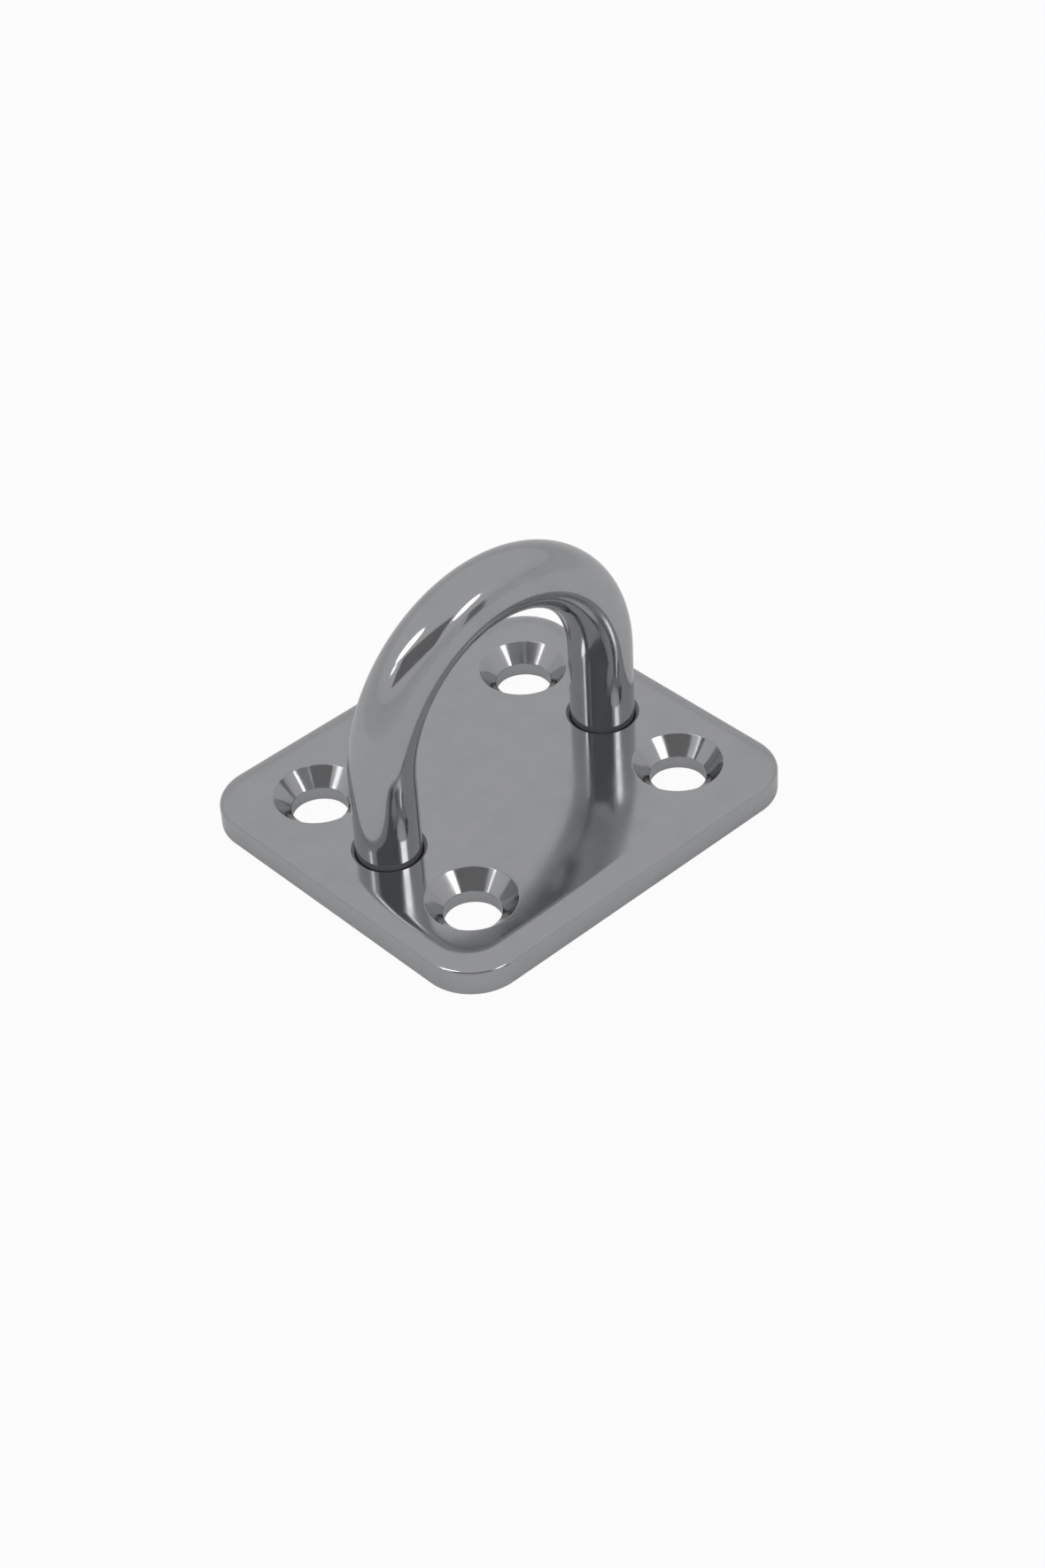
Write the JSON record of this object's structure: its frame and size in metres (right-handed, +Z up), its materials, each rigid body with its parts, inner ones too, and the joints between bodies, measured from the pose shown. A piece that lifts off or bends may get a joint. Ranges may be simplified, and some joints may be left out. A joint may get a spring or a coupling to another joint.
{
  "type": "pad eye",
  "caption": "U-shaped round-bar eye standing on a flat rectangular base plate with rounded corners and countersunk screw holes, for a shackle, hook or lashing.",
  "frame": {"origin": "centre of the base plate's underside, the face that lies on the deck", "axes": "+Z up, away from the deck; +X along the plate's long side, from one leg of the eye to the other; +Y across the plate"},
  "size_m": [0.041, 0.0364, 0.027],
  "materials": {
    "polished_stainless": "polished",
    "ground_weld": "satin"
  },
  "bodies": {
    "root": {"base_plate": "polished_stainless", "eye_bow": "polished_stainless", "weld_left": "ground_weld", "weld_right": "ground_weld"}
  },
  "joints": []
}
